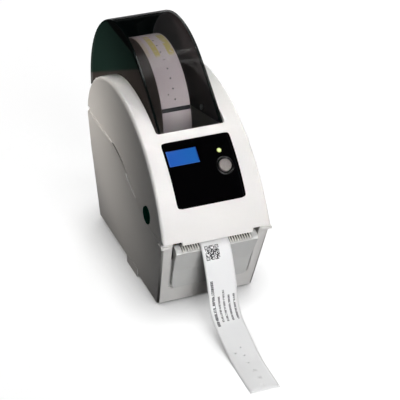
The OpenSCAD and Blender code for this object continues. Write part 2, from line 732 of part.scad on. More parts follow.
module hood_screws()
    color("#55585c") both() for (p = hood_bolts) {
        xcyl(p[0], p[1], 1.25, hood_hw(p[1]) - hood_t - 0.4, hood_half + 2.8);
        xcyl(p[0], p[1], 2.6, hood_hw(p[1]) - hood_t - 1.8, hood_hw(p[1]) - hood_t - 0.1);
    }

module control_panel()
    color("#0d0d0f") difference() {
        intersection() {
            on_face(panel_h/2) translate([0, 0, -8]) linear_extrude(20) rounded(panel_w, panel_h, 5);
            difference() {
                xcyl(fc[0], fc[1], front_r + panel_proud, -60, 60);
                xcyl(fc[0], fc[1], front_r - panel_in, -70, 70);
            }
        }
        // fine line inside the edge
        difference() {
            on_face(panel_h/2) translate([0, 0, -8]) linear_extrude(20) difference() {
                rounded(panel_w - 4.4, panel_h - 4.4, 3.2);
                rounded(panel_w - 5.2, panel_h - 5.2, 2.8);
            }
            xcyl(fc[0], fc[1], front_r + panel_proud - 0.15, -60, 60);
        }
        on_face(lcd_s, lcd_x) translate([0, 0, -12]) linear_extrude(20)
            square([lcd_w, lcd_h], center = true);
        on_face(led_s, led_x) translate([0, 0, -12]) cylinder(r = led_d/2 + 0.05, h = 20, $fn = 48);
        on_face(button_s, button_x) translate([0, 0, -12]) cylinder(r = collar_r + 0.05, h = 20, $fn = 48);
    }

module lcd_display()
    color("#3c64c8") on_face(lcd_s, lcd_x) {
        translate([0, 0, -3.2]) linear_extrude(3.25) square([lcd_w - 0.2, lcd_h - 0.2], center = true);
        translate([0, 0, -5]) linear_extrude(2) square([lcd_w + 0.6, lcd_h + 0.6], center = true);
    }

module status_led()
    color("#b8d030") on_face(led_s, led_x) translate([0, 0, -5]) {
        cylinder(r = led_d/2, h = 5.6, $fn = 48);
        cylinder(r = led_d/2 + 0.2, h = 1, $fn = 48);
    }

module button_collar()
    color("#18191b") on_face(button_s, button_x) translate([0, 0, -3.4]) difference() {
        cylinder(r = collar_r, h = 3.6, $fn = 64);
        translate([0, 0, -1]) cylinder(r = button_d/2 + 0.35, h = 8, $fn = 64);
    }

module feed_button()
    color("#9a9da0") on_face(button_s, button_x) {
        translate([0, 0, -2.6]) cylinder(r = button_d/2, h = 3.8, $fn = 64);
        translate([0, 0, -3.4]) cylinder(r = 2, h = 1, $fn = 32);
    }

module button_switch()
    color("#202225") on_face(button_s, button_x) {
        translate([-3, -3, 0.12 - board_top]) cube([6, 6, board_top - 5.52]);
        translate([0, 0, -6]) cylinder(r = 1.6, h = 6 - 3.4 - button_travel - 0.15, $fn = 32);
    }

module control_board()
    color("#2f6b3f") on_face(board_s) translate([0, 0, -board_top - 1.6]) linear_extrude(1.6)
        square([58, board_h], center = true);

module print_head()
    color("#c9cccf") {
        block(-29, 29, platen_y - 5, platen_y + 14, band_z + band_t + 0.5, 81.2);
        difference() {
            block(-29, 29, platen_y - 3, platen_y + 12, 81, 88.5);
            for (i = [-6:6]) block(i*4.2 - 1, i*4.2 + 1, platen_y - 12, platen_y + 18, 84, 90);
        }
        for (x = [-6.3, 6.3]) translate([x, platen_y + 4.5, 83])
            cylinder(r = 1.1, h = bracket_z - 81.5, $fn = 32);
    }

module head_bracket()
    color("#aeb2b6") difference() {
        union() {
            block(-32, 32, platen_y - 4, platen_y + 16, bracket_z - 2, bracket_z);
            block(-32, 32, platen_y + 14, platen_y + 16, 88, bracket_z - 1.5);
        }
        for (i = [-1, 1]) translate([i*6.3, platen_y + 4.5, 84]) cylinder(r = 1.3, h = 20, $fn = 32);
    }

module head_springs()
    color("#d0d3d6") for (i = [-14, 14]) translate([0, platen_y, bracket_z])
        xprism([[-2, -9], [6, -9], [11, -5.5], [6, -2], [-1, -2], [-1, -2.6], [5.7, -2.6], [10, -5.5],
            [5.7, -8.4], [-2, -8.4]], i - 4, i + 4);

module tear_bar()
    color("#c4c7ca") yprism(concat([[32.6, 86.4], [-32.6, 86.4], [-32.6, 80.4]],
        [for (i = [0:42]) [mix(-32, 32, i/42), i%2 == 0 ? 79.8 : 80.6]], [[32.6, 80.4]]),
        platen_y - 10.9, platen_y - 10.1);

module release(s)
    mirror([s > 0 ? 0 : 1, 0, 0]) difference() {
        union() {
            xcyl(tab_y, tab_z, tab_d/2, tab_face - 5, tab_face);
            block(strike_in - 1.1, tab_face - 4.5, tab_y - 4, tab_y + 4, tab_z - 4, tab_z + 4);
            block(strike_in - 3.1, strike_in - 0.9, tab_y - 4, tab_y + 4, strike_z - 3.2, tab_z + 4);
            xprism([[tab_y - 4, strike_z - 3.2], [tab_y + 4, strike_z - 3.2], [tab_y + 4, strike_z - 0.3],
                [tab_y - 4, strike_z - 0.3]], strike_in - 1.1, strike_in + 1.6);
        }
        // shallow dish
        translate([tab_face + 22, tab_y, tab_z]) sphere(r = 23.6, $fn = 96);
    }
module left_release() color("#1d5a3c") release(-1);
module right_release() color("#1d5a3c") release(1);

module platen_shaft() color("#b8bcc0") xcyl(platen_y, platen_z, 3, -plate_x1 - 2, gear_x1 + 1);
module platen_roller()
    color("#1c1c1e") difference() {
        xcyl(platen_y, platen_z, platen_r, -31.5, 31.5);
        xcyl(platen_y, platen_z, 3, -40, 40);
    }
module platen_gear() color("#e4e2da") xgear([platen_y, platen_z], platen_n, train_a, 3);
module idler_gear() color("#e4e2da") xgear(idler_p, idler_n, train_a + 180 + 180/idler_n, 2 + play);
module motor_pinion()
    color("#c9a45c") {
        xgear(motor_p, pinion_n, train_a + 180 + 180/pinion_n + (idler_n % 2 == 0 ? 180/pinion_n : 0), 1.4);
        xcyl(motor_p[0], motor_p[1], 1.5, 24, gear_x1 + 1);
    }

base_housing();
front_panel();
rubber_feet();
hinge_pins();
mechanism_frame();
platen_bushings();
stepper_motor();
idler_post();
media_tray();
main_board();
board_screws();
io_plate();
dc_jack();
usb_port();
serial_port();
switch_frame();
left_holder();
right_holder();
guide_rail();
mark_sensor();
latch_strikes();
frame_screws();
printed_band();
top_cover();
media_hood();
hood_screws();
control_panel();
lcd_display();
status_led();
button_collar();
control_board();
button_switch();
print_head();
head_bracket();
head_springs();
tear_bar();
left_release();
right_release();
feed_button();
power_rocker();
platen_shaft();
platen_roller();
platen_gear();
idler_gear();
motor_pinion();
roll_spindle();
roll_hub();
roll_core();
media_roll();
left_guide();
right_guide();
guide_pinion();
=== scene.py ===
"""Looks of a desktop band printer: moulded shells, smoked hood, control panel, roll and printed band."""
import bisect
import json
import math

import bmesh
import bpy
from mathutils import Matrix, Vector
from mathutils.geometry import delaunay_2d_cdt

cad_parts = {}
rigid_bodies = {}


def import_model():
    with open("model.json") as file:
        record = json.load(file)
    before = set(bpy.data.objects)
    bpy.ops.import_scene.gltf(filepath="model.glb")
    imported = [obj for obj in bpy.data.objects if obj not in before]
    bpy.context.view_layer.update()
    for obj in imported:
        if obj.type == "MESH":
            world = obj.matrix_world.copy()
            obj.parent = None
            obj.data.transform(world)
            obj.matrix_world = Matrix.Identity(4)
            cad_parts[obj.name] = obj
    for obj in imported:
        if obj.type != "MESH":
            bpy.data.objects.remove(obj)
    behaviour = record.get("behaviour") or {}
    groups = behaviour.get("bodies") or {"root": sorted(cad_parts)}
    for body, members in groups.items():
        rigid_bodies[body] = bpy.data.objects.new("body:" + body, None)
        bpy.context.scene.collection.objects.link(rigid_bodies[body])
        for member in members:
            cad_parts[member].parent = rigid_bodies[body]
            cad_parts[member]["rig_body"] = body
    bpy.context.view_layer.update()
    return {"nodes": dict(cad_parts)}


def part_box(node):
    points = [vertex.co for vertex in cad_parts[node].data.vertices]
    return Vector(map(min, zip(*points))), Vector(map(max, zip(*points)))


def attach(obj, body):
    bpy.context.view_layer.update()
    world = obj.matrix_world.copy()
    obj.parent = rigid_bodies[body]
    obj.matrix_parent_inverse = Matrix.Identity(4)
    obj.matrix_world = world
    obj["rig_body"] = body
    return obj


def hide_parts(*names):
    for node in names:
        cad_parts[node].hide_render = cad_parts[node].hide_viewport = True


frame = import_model()
NODES = frame["nodes"]
MM = 0.001


def span(node):
    """The lowest and the highest corner of a solid, in millimetres."""
    return [corner/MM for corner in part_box(node)]


def extent(node):
    """The middle and the half width of a solid along X, in millimetres."""
    low, high = span(node)
    return round((low.x + high.x)/2, 3), round((high.x - low.x)/2, 3)


# sizes in millimetres: the roll, the band, the front face with its panel, the slot, the switch and the feet
ROLL_LOW, ROLL_HIGH = span("media_roll")
ROLL_R = (ROLL_HIGH.z - ROLL_LOW.z)/2
ROLL_Y = (ROLL_HIGH.y + ROLL_LOW.y)/2
ROLL_Z = (ROLL_HIGH.z + ROLL_LOW.z)/2
CORE_R = round(ROLL_Z - span("roll_core")[0].z, 3)
HUB_R = round(ROLL_Z - span("roll_hub")[0].z, 3)
AIR = 0.3
BAND_X, BAND_HALF = extent("media_roll")
BAND_T = 0.35
BAND_DRIFT = -2.5
HOLE_R = 0.8
HOLE_ROW = 0.4
HOLES = [(s, HOLE_ROW) for s in (112.8, 122.5, 132.3, 143.5, 154.5, 166.3)] + [(118.3, -6.7)]
HOOD_INNER = 30.8
FACE_CENTRE = Vector((26.0, 27.5))
FACE_RADIUS = 150.0
PANEL_TOP = 122.0
PANEL_W = 2*extent("control_panel")[1]
PANEL_H = 63.2
LCD_X, MODULE_HALF = extent("lcd_display")
MODULE_MARGIN = 0.8
LCD = {"x": LCD_X, "s": 16.2, "w": 2*MODULE_HALF - MODULE_MARGIN, "h": 15.1}
LAMP = {"x": 18.9, "s": 16.2, "r": 2.2}
BUTTON_X, BUTTON_R = extent("feed_button")
RING_R = round(span("button_collar")[1].x - BUTTON_X, 3)
BUTTON_S = 31.2
NIP = (-98.0, 78.1 + BAND_T/2)
LIP_Y = -104.0
LIP_AXIS_Z = 63.9
LIP_FLOOR = 12.4
ROCKER_X = extent("switch_frame")[0]
ROCKER_Z = 24.0
FOOT_R = 6.5
FRONT_FOOT_TOP = 3.0
FEET_END = span("rubber_feet")[1]
FOOT_X, FOOT_Y, FOOT_TOP = (round(v, 3) for v in FEET_END - Vector((FOOT_R, FOOT_R, 0)))
FEET = [(side*FOOT_X, -FOOT_Y, FRONT_FOOT_TOP) for side in (-1, 1)]
FEET += [(side*FOOT_X, FOOT_Y, FOOT_TOP) for side in (-1, 1)]
FEET += [(0.0, 3.0, FOOT_TOP)]


class Term:
    """A shader socket that takes part in Python arithmetic, which adds Math nodes."""

    def __init__(self, finish, socket):
        self.finish = finish
        self.socket = socket

    def math(self, operation, *others):
        return self.finish.node("ShaderNodeMath", {"operation": operation}, [self, *others])

    def __add__(self, other):
        return self.math("ADD", other)

    __radd__ = __add__

    def __sub__(self, other):
        return self.math("SUBTRACT", other)

    def __rsub__(self, other):
        return self.finish.node("ShaderNodeMath", {"operation": "SUBTRACT"}, [other, self])

    def __mul__(self, other):
        return self.math("MULTIPLY", other)

    __rmul__ = __mul__

    def __truediv__(self, other):
        return self.math("DIVIDE", other)

    def __abs__(self):
        return self.math("ABSOLUTE")

    def __gt__(self, other):
        return self.math("GREATER_THAN", other)

    def __lt__(self, other):
        return self.math("LESS_THAN", other)

    def squared(self):
        return self*self

    def floor(self):
        return self.math("FLOOR")

    def wrap(self, step):
        return self.math("FLOORED_MODULO", step)

    def larger(self, other):
        return self.math("MAXIMUM", other)

    def between(self, low, high):
        return (self > low)*(self < high)

    def fade(self, start, end):
        """0 before start, 1 after end, smooth between them."""
        return self.finish.node("ShaderNodeMapRange", {"interpolation_type": "SMOOTHSTEP"},
                                {"Value": self, "From Min": start, "From Max": end})

    def other(self, output):
        return Term(self.finish, self.socket.node.outputs[output])


class Finish:
    """A material whose Principled sockets take numbers, colours or terms."""

    def __init__(self, name, colour, roughness, **sockets):
        self.material = bpy.data.materials.new(name)
        self.material.use_nodes = True
        self.tree = self.material.node_tree
        self.shader = self.tree.nodes["Principled BSDF"]
        self.set("Base Color", colour)
        self.set("Roughness", roughness)
        for socket, value in sockets.items():
            self.set(socket.replace("_", " "), value)

    def set(self, socket, value):
        if isinstance(value, Term):
            self.tree.links.new(value.socket, self.shader.inputs[socket])
        else:
            self.shader.inputs[socket].default_value = (*value, 1) if isinstance(value, tuple) else value

    def node(self, kind, settings=None, sockets=(), output=0):
        """Any node: its settings first, then its sockets by name or in order."""
        made = self.tree.nodes.new(kind)
        for key, value in (settings or {}).items():
            setattr(made, key, value)
        for key, value in (sockets.items() if isinstance(sockets, dict) else enumerate(sockets)):
            if isinstance(value, Term):
                self.tree.links.new(value.socket, made.inputs[key])
            else:
                made.inputs[key].default_value = value
        return Term(self, made.outputs[output])

    def place(self):
        """Object coordinates in millimetres, as a vector."""
        coords = self.node("ShaderNodeTexCoord", output="Object")
        return self.node("ShaderNodeVectorMath", {"operation": "SCALE"}, {0: coords, "Scale": 1/MM})

    def xyz(self):
        parts = self.node("ShaderNodeSeparateXYZ", {}, [self.place()])
        return parts, parts.other(1), parts.other(2)

    def attribute(self, name):
        return self.node("ShaderNodeAttribute", {"attribute_name": name}, output="Fac")

    def noise(self, per_mm, detail=2.0, vector=None):
        return self.node("ShaderNodeTexNoise", {},
                         {"Vector": vector or self.place(), "Scale": per_mm, "Detail": detail})

    def chance(self, *cell):
        """A random number from 0 to 1 for each cell."""
        if len(cell) == 1:
            return self.node("ShaderNodeTexWhiteNoise", {"noise_dimensions": "1D"}, {"W": cell[0]})
        point = self.node("ShaderNodeCombineXYZ", {}, list(cell))
        return self.node("ShaderNodeTexWhiteNoise", {"noise_dimensions": "2D"}, {"Vector": point})

    def mix(self, factor, first, second):
        colours = [c if isinstance(c, Term) else (*c, 1) for c in (first, second)]
        sockets = {0: factor, 6: colours[0], 7: colours[1]}
        return self.node("ShaderNodeMix", {"data_type": "RGBA"}, sockets, output=2)

    def bump(self, height, strength, distance_mm):
        sockets = {"Height": height, "Strength": strength, "Distance": distance_mm*MM}
        self.set("Normal", self.node("ShaderNodeBump", {}, sockets))


def scaled(colour, factor):
    return tuple(factor*c for c in colour)


def moulded(name, colour, roughness, grain=0.25, tint=0.04, **sockets):
    """Spark-eroded moulded plastic: fine grain, slow tone drift and slight gloss drift."""
    finish = Finish(name, colour, roughness, **sockets)
    drift = finish.noise(0.02, 1.0)
    finish.set("Base Color", finish.mix(drift, scaled(colour, 1 - tint), scaled(colour, 1 + tint)))
    fine = finish.noise(3.0, 3.0)
    finish.set("Roughness", roughness - 0.06 + 0.12*fine)
    finish.bump(fine, grain, 0.04)
    return finish


def brushed(name, colour, roughness):
    """Rolled metal with fine lines along X."""
    stretch = (0.03, 4.0, 4.0)
    finish = Finish(name, colour, roughness, Metallic=1.0)
    lines = finish.node("ShaderNodeMapping", {}, {"Vector": finish.place(), "Scale": stretch})
    grain = finish.noise(1.0, 3.0, lines)
    finish.set("Base Color", finish.mix(grain, scaled(colour, 0.82), scaled(colour, 1.08)))
    finish.set("Roughness", roughness - 0.08 + 0.16*grain)
    finish.bump(grain, 0.12, 0.02)
    return finish


def smoked_clear():
    """Smoked clear plastic: clear over the roll, dense on crown, rear and edges; its tones are painted
    light: sideways walls a lighter green than the near-black crown, a pale painted reflection of the white
    cover low on the outer walls, and painted warm light on the inner wall faces.
    """
    # the inner tone is painted warm light on the walls' inner faces
    crown_tone, inner_light_tone = (0.002, 0.004, 0.004), (0.32, 0.265, 0.28)
    # painted tones: a lighter green for the sideways walls, and a pale painted reflection of the white
    # cover low on the outer walls
    painted_wall_tone, ear_reflection_tone = (0.018, 0.046, 0.037), (0.085, 0.072, 0.065)
    clear_half, wall_start, coat_half, outer_face = 29.3, 29.8, 31, 31.8
    inner_lean, lean_from, inner_margin = 0.02, 160, 0.3
    low_slope, low_full, low_none = 0.511, 203.5, 207
    window_clear, wall_clear, low_clear = 0.77, 0.11, 0.16
    rear_start, rear_end = 78, 104
    finish = Finish("smoked_clear", crown_tone, 0.08, Specular_IOR_Level=0.0)
    x, y, z = finish.xyz()
    across = abs(x)
    facing = finish.node("ShaderNodeNewGeometry", output="True Normal")
    # faces that point sideways get lighter painted tones than the near-black crown: painted light
    wall = abs(finish.node("ShaderNodeSeparateXYZ", {}, [facing])) > 0.6
    low = 1 - (z + low_slope*y).fade(low_full, low_none)
    # painted reflection of the white cover on the lower outer walls
    outside = finish.mix(low, painted_wall_tone, ear_reflection_tone)
    tone = finish.mix(across > outer_face, crown_tone, outside)
    inner_face = HOOD_INNER + inner_margin - inner_lean*(z - lean_from)
    # painted warm light on the inner faces
    tone = finish.mix(across < inner_face, tone, inner_light_tone)
    finish.set("Base Color", finish.mix(wall, crown_tone, tone))
    window = (across < clear_half)*(1 - y.fade(rear_start, rear_end))
    walls = (wall_clear + low_clear*low)*(across > wall_start)
    finish.set("Alpha", 1 - window_clear*window - walls)
    finish.set("Coat Weight", 0.3*(across < coat_half))
    finish.set("Roughness", 0.05 + 0.06*finish.noise(0.08))
    return finish


def circuit_board():
    """Green board with routed tracks; what stands above the board is black cases and bright can tops."""
    lane, track_width, reach = 1.9, 0.7, 14
    case_foot, can_top, case_end = 17.7, 25.9, 40
    finish = Finish("circuit_board", (0.02, 0.16, 0.06), 0.35, Coat_Weight=0.3)
    x, y, z = finish.xyz()
    lanes = (x + 2*finish.noise(0.05)).wrap(lane) < track_width
    routed = finish.chance((x/lane).floor(), (y/reach).floor()) > 0.45
    track = lanes*routed
    board = finish.mix(track, (0.015, 0.13, 0.05), (0.05, 0.27, 0.10))
    raised = z.between(case_foot, case_end)
    cases = finish.mix(z > can_top, (0.012, 0.012, 0.013), (0.55, 0.56, 0.58))
    finish.set("Base Color", finish.mix(raised, board, cases))
    finish.bump(track*(1 - raised), 0.3, 0.05)
    return finish


def wound_paper():
    """The roll: pale outer turn with punched holes painted dark as painted shade, a sense mark and glue
    patches; layered sides painted a darker brown than the face as painted shade.
    """
    paper, hole_shade_tone, glue_tone = (0.82, 0.72, 0.74), (0.15, 0.14, 0.16), (0.74, 0.62, 0.14)
    pitch, one_hole, row_start, row_end = 8.9, 114.9, 60, 153
    lone_turn, lone_across = 146.0, -5.4
    mark_start, mark_end = 156.9, 160.4
    right_patch, middle_patch, left_patch = (6.8, 13.2), (-6.5, -1.2), -10.5
    glue_start, glue_end = (74, 80), (108, 113)
    degree = math.radians(1)*ROLL_R
    finish = Finish("wound_paper", paper, 0.5)
    x, y, z = finish.xyz()
    across = x - BAND_X
    up, back = z - ROLL_Z, y - ROLL_Y
    radius = (up*up + back*back).math("SQRT")
    turn = up.math("ARCTAN2", back)*(180/math.pi)
    outer = radius > ROLL_R - 0.25
    layers = (radius*5 + finish.noise(0.05)).math("SINE")*0.5 + 0.5
    # the sides are painted a darker brown than the face: painted shade over the layered rings
    side = finish.mix(layers, (0.33, 0.28, 0.24), (0.46, 0.40, 0.35))
    patches = across.between(*right_patch) + across.between(*middle_patch) + 0.35*(across < left_patch)
    worn = finish.noise(0.3, 3.0).fade(0.30, 0.50)
    glue = patches*turn.fade(*glue_start)*(1 - turn.fade(*glue_end))*worn
    face = finish.mix(glue*0.85, paper, glue_tone)
    step = ((turn - one_hole + pitch/2).wrap(pitch) - pitch/2)*degree
    row = (step.squared() + (across - HOLE_ROW).squared()) < HOLE_R**2
    reach = (turn - lone_turn)*degree
    lone = (reach.squared() + (across - lone_across).squared()) < 0.6*HOLE_R**2
    # holes painted dark: painted shade of the layer beneath
    face = finish.mix((row*turn.between(row_start, row_end)).larger(lone), face, hole_shade_tone)
    face = finish.mix(turn.between(mark_start, mark_end), face, (0.010, 0.010, 0.012))
    finish.set("Base Color", finish.mix(outer, side, face))
    finish.bump(layers*(1 - outer), 0.4, 0.08)
    return finish


def code_block(finish, along, across, start, left, module, count=21):
    """A square of random modules with framed squares in three corners."""
    u, v = (along - start)/module, (across - left)/module
    first, last = 2.5, count - 2.5
    inked = finish.chance(u.floor(), v.floor()) > 0.37
    for corner_u, corner_v in ((first, first), (last, first), (first, last)):
        out = abs(u - corner_u).larger(abs(v - corner_v))
        framed = out.between(1.5, 2.5) + (out < 0.6)
        near = out < 3
        inked = inked*(1 - near) + framed*near
    return inked*u.between(0, count)*v.between(0, count)


def stroke_row(finish, along, across, centre, height, start, end, seed):
    """A row of block strokes, stems and bars by chance, that stands for a line of print."""
    pitch = 0.72*height
    stem_end, second_start, stroke_end = 0.38, 0.48, 0.86
    letter = (along/pitch).floor()
    within, level = (along/pitch).wrap(1), (across - centre)/(height/2)
    stem = (within < stem_end)*(finish.chance(letter + seed) > 0.15)
    second = within.between(second_start, stroke_end)*(finish.chance(letter + seed + 0.3) > 0.3)
    foot = (level > 0.58)*(finish.chance(letter + seed + 0.5) > 0.4)
    head = (level < -0.58)*(finish.chance(letter + seed + 0.7) > 0.4)
    bar = (abs(level) < 0.24)*(finish.chance(letter + seed + 0.9) > 0.5)
    strokes = stem.larger(second).larger((foot + head + bar)*(within < stroke_end))
    word = finish.chance((letter/6).floor() + seed, seed) > 0.08
    return strokes*word*(abs(level) < 1)*along.between(start, end)


def printed_paper():
    """The band's face: a square of modules and rows of strokes, none of them readable."""
    paper, ink = (0.90, 0.90, 0.90), (0.022, 0.022, 0.025)
    finish = Finish("printed_paper", paper, 0.42)
    along, across = finish.attribute("along"), finish.attribute("across")
    marks = code_block(finish, along, across, start=9.3, left=-11.0, module=0.64)
    title = stroke_row(finish, along, across, centre=-9.8, height=2.6, start=42, end=85.8, seed=3)
    marks = marks.larger(title)
    for i, (centre, start) in enumerate([(-4.5, 52), (0.2, 52), (5.2, 57), (10.2, 57)]):
        row = stroke_row(finish, along, across, centre, height=1.9, start=start, end=82, seed=50 + 17*i)
        marks = marks.larger(0.92*row)
    tone = finish.mix(finish.noise(0.03), (0.87, 0.87, 0.87), (0.91, 0.91, 0.91))
    finish.set("Base Color", finish.mix(marks, tone, ink))
    finish.bump(finish.noise(2.0, 3.0), 0.05, 0.03)
    return finish


def ribbed_grey():
    """Moulded grey front with ribs over the lip painted lighter cream as a painted highlight; the gaps
    between them are painted shade that darkens towards the slot.
    """
    grey, rib_highlight = (0.74, 0.74, 0.725), (0.86, 0.84, 0.79)
    # painted shade in the gaps between the ribs, pale near the insert and dark towards the slot
    pale_gap_shade, dark_gap_shade = (0.62, 0.61, 0.59), (0.035, 0.033, 0.03)
    ribs_half, rib_depth, rib_reach = 34.2, 0.5, 2
    rib_start, gap_shade = (72.2, 73.2), (73.4, 76.0)
    finish = moulded("grey_insert", grey, 0.46, grain=0.3, tint=0.03, Specular_IOR_Level=0.02)
    x, y, z = finish.xyz()
    back, up = y - LIP_Y, z - LIP_AXIS_Z
    radius = (back*back + up*up).math("SQRT")
    near = z.fade(*rib_start)*(y < LIP_Y + rib_reach)*(abs(x) < ribs_half)
    gap = near*(radius < LIP_FLOOR + rib_depth)
    # rib tops painted lighter cream: painted highlight
    tone = finish.mix(near, grey, rib_highlight)
    # painted shade in the rib gaps
    shade = finish.mix(z.fade(*gap_shade), pale_gap_shade, dark_gap_shade)
    finish.set("Base Color", finish.mix(gap, tone, shade))
    return finish


def ceramic_head():
    """The print head: alloy fins above a ceramic plate with its heater line and contact strip."""
    alloy, ceramic = (0.60, 0.61, 0.63), (0.72, 0.69, 0.62)
    plate_top, line_half, line_reach = 80.9, 0.45, 27
    contact_pitch, contact_width, contacts_end = 1.2, 0.7, 26
    strip_start, strip_end = NIP[0] + 8, NIP[0] + 11
    finish = brushed("ceramic_head", alloy, 0.34)
    x, y, z = finish.xyz()
    plate = z < plate_top
    line = (abs(y - NIP[0]) < line_half)*(abs(x) < line_reach)
    contacts = (x.wrap(contact_pitch) < contact_width).larger(abs(x) > contacts_end)
    strip = y.between(strip_start, strip_end)*contacts
    tone = finish.mix(line, ceramic, (0.06, 0.035, 0.03))
    tone = finish.mix(strip, tone, (0.62, 0.42, 0.16))
    finish.set("Base Color", finish.mix(plate, alloy, tone))
    finish.set("Metallic", 1 - plate*(1 - strip))
    return finish


def switch_black():
    """The rocker: satin black with a white bar on one half and a white ring on the other."""
    black, white = (0.020, 0.020, 0.022), (0.75, 0.75, 0.74)
    rocker_face, bar_half, bar_rise = 82, 0.3, (2.2, 4.6)
    ring_drop, ring_reach = 3.4, (1.0, 1.5)
    finish = moulded("switch_black", black, 0.4)
    x, y, z = finish.xyz()
    across, up = x - ROCKER_X, z - ROCKER_Z
    bar = (abs(across) < bar_half)*up.between(*bar_rise)
    lower = up + ring_drop
    reach = (across.squared() + lower.squared()).math("SQRT")
    mark = (bar + reach.between(*ring_reach))*(y > rocker_face)
    finish.set("Base Color", finish.mix(mark, black, white))
    return finish


def blue_display():
    """The lit display: a blue field of fine dots, brighter along its left and lower edge."""
    dot_pitch, dot_width = 0.45, 0.36
    tone_half, lit_left, lit_foot = 14, -12.6, -6.3
    finish = Finish("blue_display", (0.003, 0.012, 0.05), 0.12, Emission_Strength=0.88,
                    Specular_IOR_Level=0.1)
    across, up = finish.attribute("across"), finish.attribute("along")
    edge = (abs(across)/(LCD["w"]/2)).larger(abs(up)/(LCD["h"]/2))
    dots = ((across.wrap(dot_pitch) < dot_width)*(up.wrap(dot_pitch) < dot_width))*0.12 + 0.88
    tone = finish.mix(across.fade(-tone_half, tone_half), (0.020, 0.110, 0.47), (0.014, 0.125, 0.44))
    lit_edge = (across < lit_left).larger(up < lit_foot)
    glow = finish.mix(edge.fade(0.90, 1.0)*lit_edge*0.5, tone, (0.10, 0.22, 0.62))
    glow = finish.mix(edge.fade(0.90, 0.98)*(1 - lit_edge)*0.7, glow, (0.02, 0.03, 0.16))
    finish.set("Emission Color", finish.mix(dots, (0.008, 0.05, 0.26), glow))
    return finish


def lit_lamp():
    """The lit lamp: pale in its middle, olive towards its rim."""
    finish = Finish("lit_lamp", (0.30, 0.34, 0.12), 0.15, Emission_Strength=1.0, Specular_IOR_Level=0.2)
    rim = finish.attribute("across")
    finish.set("Emission Color", finish.mix(rim.fade(0.35, 1.0), (0.72, 0.80, 0.46), (0.36, 0.42, 0.10)))
    return finish


def gloss_black():
    """Black lacquered panel with a painted highlight line along the groove inside its right edge."""
    black = (0.001, 0.001, 0.0012)
    groove_glint_x, groove_glint_foot = 30.9, 95
    finish = Finish("gloss_black", black, 0.16, Specular_IOR_Level=0.0)
    x, _, z = finish.xyz()
    # painted highlight along the groove
    line = (abs(x - groove_glint_x) < 0.13)*(z > groove_glint_foot)
    finish.set("Base Color", finish.mix(line, black, (0.02, 0.02, 0.022)))
    finish.set("Roughness", 0.12 + 0.08*finish.noise(0.2))
    finish.bump(finish.noise(1.5, 2.0), 0.02, 0.02)
    return finish


def collar_black():
    """Glossy black moulding that catches the lamps on its round edges."""
    finish = Finish("collar_black", (0.002, 0.002, 0.002), 0.2, Specular_IOR_Level=0.4)
    finish.set("Roughness", 0.14 + 0.1*finish.noise(0.4))
    return finish


def speckled_grey():
    """The button's grey rubber, finely speckled."""
    finish = Finish("speckled_grey", (0.25, 0.22, 0.21), 0.5, Specular_IOR_Level=0.2)
    speck = finish.noise(4.0, 4.0)
    tone = finish.mix(speck.fade(0.35, 0.65), (0.18, 0.165, 0.155), (0.31, 0.28, 0.265))
    finish.set("Base Color", tone)
    finish.bump(speck, 0.25, 0.06)
    return finish


def kraft_board():
    """Brown card with fibres."""
    finish = Finish("kraft_board", (0.42, 0.30, 0.17), 0.8)
    fibre = finish.noise(0.8, 5.0)
    finish.set("Base Color", finish.mix(fibre, (0.33, 0.23, 0.13), (0.52, 0.38, 0.23)))
    finish.bump(fibre, 0.3, 0.1)
    return finish


FINISHES = {
    "white": moulded("white_shell", (0.86, 0.845, 0.825), 0.42, grain=0.14, tint=0.015,
                     Specular_IOR_Level=0.02),
    "grey": ribbed_grey(),
    "collar": collar_black(),
    "head": ceramic_head(),
    "switch": switch_black(),
    "hood": smoked_clear(),
    "panel": gloss_black(),
    "dark": moulded("dark_moulding", (0.028, 0.029, 0.031), 0.5),
    "rubber": moulded("foot_rubber", (0.020, 0.020, 0.021), 0.8, grain=0.5),
    "steel": brushed("plated_steel", (0.60, 0.61, 0.63), 0.36),
    "brass": brushed("turned_brass", (0.78, 0.57, 0.26), 0.28),
    "board": circuit_board(),
    "roll": wound_paper(),
    "band": printed_paper(),
    "kraft": kraft_board(),
    "green": moulded("green_tab", (0.002, 0.050, 0.034), 0.34, grain=0.1, tint=0.10,
                     Specular_IOR_Level=0.0),
    "display": blue_display(),
    "lamp": lit_lamp(),
    "button": speckled_grey(),
    "acetal": moulded("natural_acetal", (0.80, 0.78, 0.73), 0.36, grain=0.1),
    "blue": moulded("blue_guide", (0.06, 0.13, 0.32), 0.4),
}


def meshed(name, shape):
    """Turns a bmesh into a mesh."""
    mesh = bpy.data.meshes.new(name)
    shape.to_mesh(mesh)
    shape.free()
    return mesh


def linked(name, data):
    """A new object in the scene."""
    thing = bpy.data.objects.new(name, data)
    bpy.context.scene.collection.objects.link(thing)
    return thing


def made(name, shape, finish, body, replaces=(), slot=None, sharp=50):
    """Turns a bmesh into a finished piece that rides on a body."""
    mesh = meshed(name, shape)
    mesh.materials.append(FINISHES[finish].material)
    mesh.shade_smooth()
    mesh.set_sharp_from_angle(angle=math.radians(sharp))
    piece = linked(name, mesh)
    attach(piece, body)
    if replaces:
        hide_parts(*replaces)
    return piece


def copied(node):
    """A merged copy of a solid's loose triangles, with flat areas joined."""
    shape = bmesh.new()
    shape.from_mesh(NODES[node].data)
    bmesh.ops.remove_doubles(shape, verts=shape.verts, dist=0.002*MM)
    bmesh.ops.dissolve_limit(shape, angle_limit=math.radians(0.5), verts=shape.verts, edges=shape.edges)
    return shape


def moulding(name, node, finish, slot, sharp=50):
    """A solid's own form as a merged piece with even shading."""
    piece = made(name, copied(node), finish, NODES[node]["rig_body"], [node], slot, sharp)
    weighted = piece.modifiers.new("even_shading", "WEIGHTED_NORMAL")
    weighted.keep_sharp = True
    return piece


